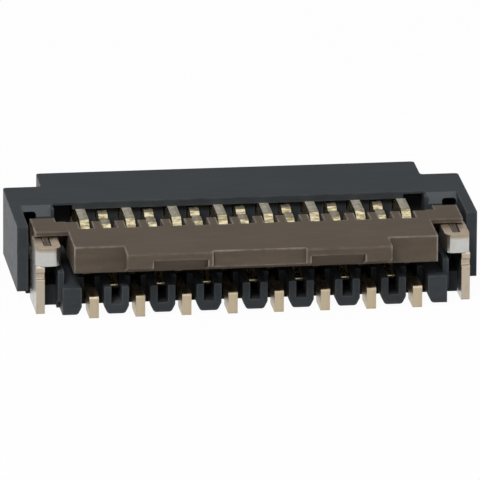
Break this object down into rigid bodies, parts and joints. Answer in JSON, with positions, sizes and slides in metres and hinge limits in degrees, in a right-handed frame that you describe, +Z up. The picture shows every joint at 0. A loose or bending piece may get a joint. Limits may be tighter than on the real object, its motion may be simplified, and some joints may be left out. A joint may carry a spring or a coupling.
{
  "type": "fpc connector",
  "caption": "Low flip-lock connector for a thin flat flexible cable: black housing, brown hinged actuator, two staggered rows of plated contacts, tinned end hold-downs.",
  "frame": {"origin": "middle of the bounding box, at the board's surface under the solder feet", "axes": "+X along the row of contacts, +Y to the closed rear of the housing, +Z up from the board; the cable goes in from -Y"},
  "size_m": [0.006, 0.0036, 0.001],
  "materials": {
    "black_plastic": "moulded, satin, very dark grey",
    "brown_plastic": "moulded, satin, grey-brown",
    "tinned_sheet": "matt tin plate on rolled strip",
    "contact_gold": "thin gold plate on stamped strip, satin edges"
  },
  "bodies": {
    "base": {"housing": "black_plastic", "left_hold_down": "tinned_sheet", "right_hold_down": "tinned_sheet", "front_contact_1": "contact_gold", "front_contact_2": "contact_gold", "front_contact_3": "contact_gold", "front_contact_4": "contact_gold", "front_contact_5": "contact_gold", "front_contact_6": "contact_gold", "front_contact_7": "contact_gold", "front_contact_8": "contact_gold", "rear_contact_1": "contact_gold", "rear_contact_2": "contact_gold", "rear_contact_3": "contact_gold", "rear_contact_4": "contact_gold", "rear_contact_5": "contact_gold", "rear_contact_6": "contact_gold", "rear_contact_7": "contact_gold"},
    "flip_actuator": {"actuator": "brown_plastic"}
  },
  "joints": [
    {"name": "actuator_hinge", "type": "hinge", "parent": "base", "child": "flip_actuator", "pos_m": [0, -0.0001, 0.0007], "axis": [-1, 0, 0], "range_deg": [0, 90]}
  ]
}
